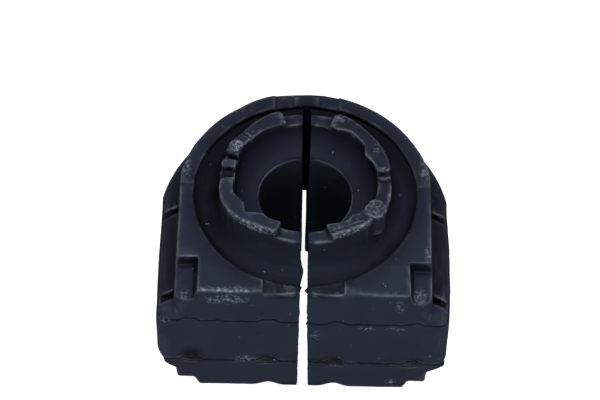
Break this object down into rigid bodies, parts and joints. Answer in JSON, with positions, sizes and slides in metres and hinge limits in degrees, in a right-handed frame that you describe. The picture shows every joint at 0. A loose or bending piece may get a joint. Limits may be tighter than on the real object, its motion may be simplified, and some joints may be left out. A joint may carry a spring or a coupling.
{
  "type": "sway bar bushing",
  "caption": "Moulded rubber block with a round back, a flat base, a wide middle band and a notched funnel collar at each end, split from the base to the bore.",
  "frame": {"origin": "middle of the bore, on its axis, halfway between the two bore edges", "axes": "+Z along the bore toward the end with the mould marks on its rim, +Y toward the round back, flat base facing -Y, +X to the right of a viewer who faces the base"},
  "size_m": [0.0684, 0.0641, 0.0597],
  "materials": {
    "rubber": "matte moulded rubber"
  },
  "bodies": {
    "root": {"bushing": "rubber"}
  },
  "joints": []
}
